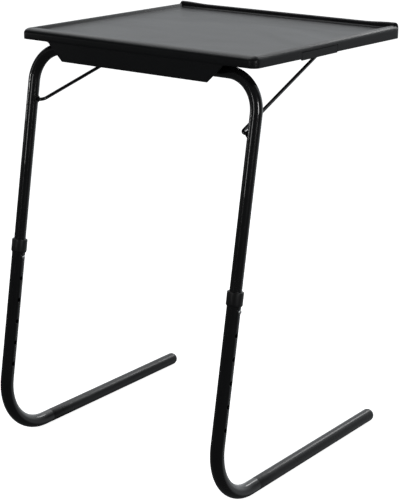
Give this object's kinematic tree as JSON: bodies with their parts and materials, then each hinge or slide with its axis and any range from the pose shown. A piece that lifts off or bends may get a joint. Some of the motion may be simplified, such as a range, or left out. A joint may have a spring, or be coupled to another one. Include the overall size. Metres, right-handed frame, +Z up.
{
  "type": "folding tray table",
  "caption": "Folding tray table on two telescoping J-shaped legs, with a tilting rimmed tray, a wire support bail and a slide-out cup holder.",
  "frame": {"origin": "on the floor, midway between the legs, at the middle of the overall depth", "axes": "+Z up, +X to the right for someone looking along +Y, +Y from the legs' side of the table towards the foot tips and the sitter"},
  "size_m": [0.4869, 0.5182, 0.7271],
  "materials": {
    "tray_plastic": "fine moulded grain, satin",
    "black_enamel": "gloss black enamel on steel tube and wire",
    "black_trim": "moulded black plastic, semi-gloss",
    "sleeve_plastic": "smooth black sleeve, soft sheen",
    "bright_steel": "bright plated steel",
    "plated_steel": "zinc-plated steel"
  },
  "bodies": {
    "frame": {"upper_frame": "black_enamel", "left_bail_bush": "black_trim", "right_bail_bush": "black_trim", "left_guide_plug": "black_trim", "right_guide_plug": "black_trim", "left_snap_spring": "plated_steel", "right_snap_spring": "plated_steel"},
    "tray_top": {"tray": "tray_plastic", "left_pivot_clamp": "black_trim", "right_pivot_clamp": "black_trim", "clamp_screws": "plated_steel", "bail_rack": "black_trim", "rack_screws": "plated_steel", "front_runner": "black_trim", "rear_runner": "black_trim", "runner_screws": "plated_steel"},
    "bail": {"support_bail": "black_enamel"},
    "left_leg": {"left_lower_leg": "black_enamel", "left_collar": "black_trim", "left_foot_sleeve": "sleeve_plastic"},
    "right_leg": {"right_lower_leg": "black_enamel", "right_collar": "black_trim", "right_foot_sleeve": "sleeve_plastic"},
    "left_button": {"left_snap_button": "bright_steel"},
    "right_button": {"right_snap_button": "bright_steel"},
    "cup": {"cup_holder": "tray_plastic"}
  },
  "joints": [
    {"name": "tray_fold", "type": "hinge", "parent": "frame", "child": "tray_top", "pos_m": [0, -0.14785, 0.691], "axis": [1, 0, 0], "range_deg": [-98.5, 0]},
    {"name": "bail_swing", "type": "hinge", "parent": "frame", "child": "bail", "pos_m": [0, -0.16284, 0.60378], "axis": [1, 0, 0], "range_deg": [-118, 0]},
    {"name": "cup_holder_slide", "type": "slide", "parent": "tray_top", "child": "cup", "axis": [1, 0, 0], "range_m": [0, 0.092]},
    {"name": "left_leg_slide", "type": "slide", "parent": "frame", "child": "left_leg", "axis": [0, 0.1693, 0.9856], "range_m": [0, 0.1905], "deforming": ["left_snap_button", "left_snap_spring"]},
    {"name": "left_button_press", "type": "slide", "parent": "frame", "child": "left_button", "axis": [-1, 0, 0], "range_m": [0, 0.0046], "stiffness_N_per_m": 500, "springref_m": -0.004, "deforming": ["left_snap_spring"]},
    {"name": "right_leg_slide", "type": "slide", "parent": "frame", "child": "right_leg", "axis": [0, 0.1693, 0.9856], "range_m": [0, 0.1905], "deforming": ["right_snap_button", "right_snap_spring"]},
    {"name": "right_button_press", "type": "slide", "parent": "frame", "child": "right_button", "axis": [-1, 0, 0], "range_m": [0, 0.0046], "stiffness_N_per_m": 500, "springref_m": -0.004, "deforming": ["right_snap_spring"]}
  ],
  "couplings": [
    {"joint": "bail_swing", "follows": "tray_fold", "ratio": 1.1934}
  ]
}
